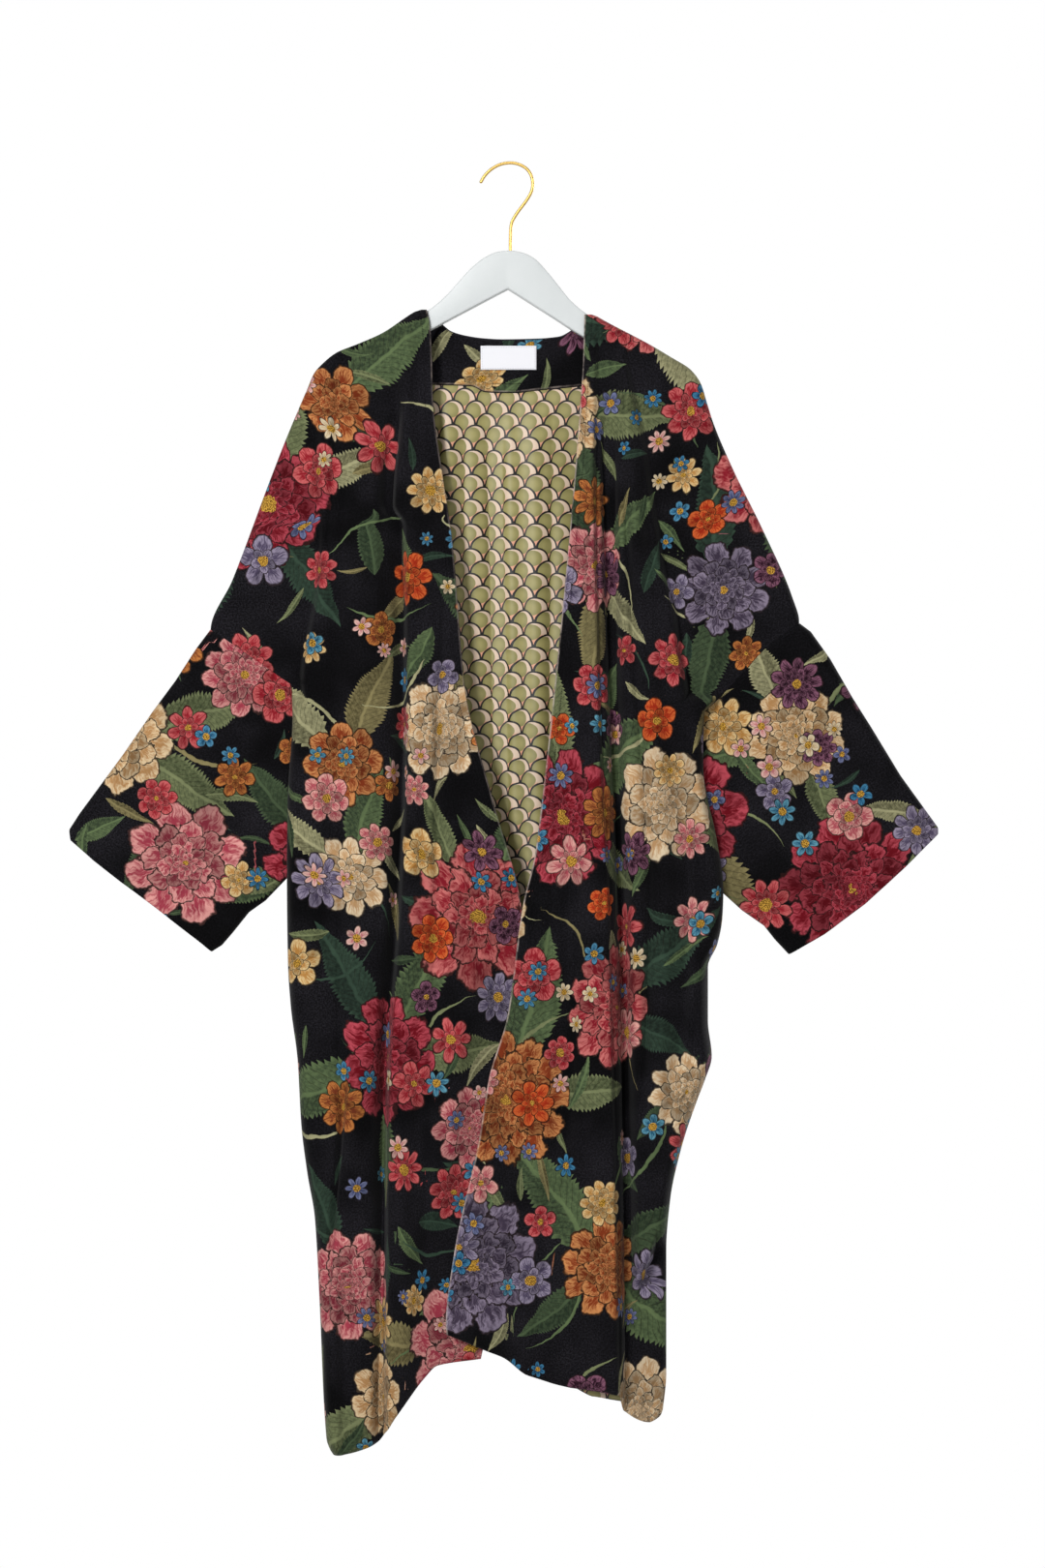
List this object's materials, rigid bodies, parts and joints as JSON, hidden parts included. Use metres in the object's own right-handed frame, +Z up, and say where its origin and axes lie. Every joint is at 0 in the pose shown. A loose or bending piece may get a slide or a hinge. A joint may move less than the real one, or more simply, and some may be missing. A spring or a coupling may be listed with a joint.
{
  "type": "kimono on a hanger",
  "caption": "Open-fronted knee-length kimono in printed velvet with square sleeves, hanging flat on a wooden hanger with a wire hook.",
  "frame": {"origin": "inner crown of the hook, where a nail or rail carries it", "axes": "+Z up, +X to the right as seen from the front, the front faces -Y"},
  "size_m": [0.901, 0.0614, 1.3395],
  "materials": {
    "velvet": "printed velvet pile, black ground with large flowers",
    "lining": "smooth printed cloth, green scales",
    "label": "woven white ribbon, plain",
    "painted_wood": "satin pale paint",
    "brass_wire": "polished pale gold"
  },
  "bodies": {
    "root": {"front_left": "velvet", "front_right": "velvet", "back": "velvet", "sleeve_left": "velvet", "sleeve_right": "velvet", "neck_facing": "velvet", "lining": "lining", "label": "label", "hanger": "painted_wood", "hook": "brass_wire"}
  },
  "joints": []
}
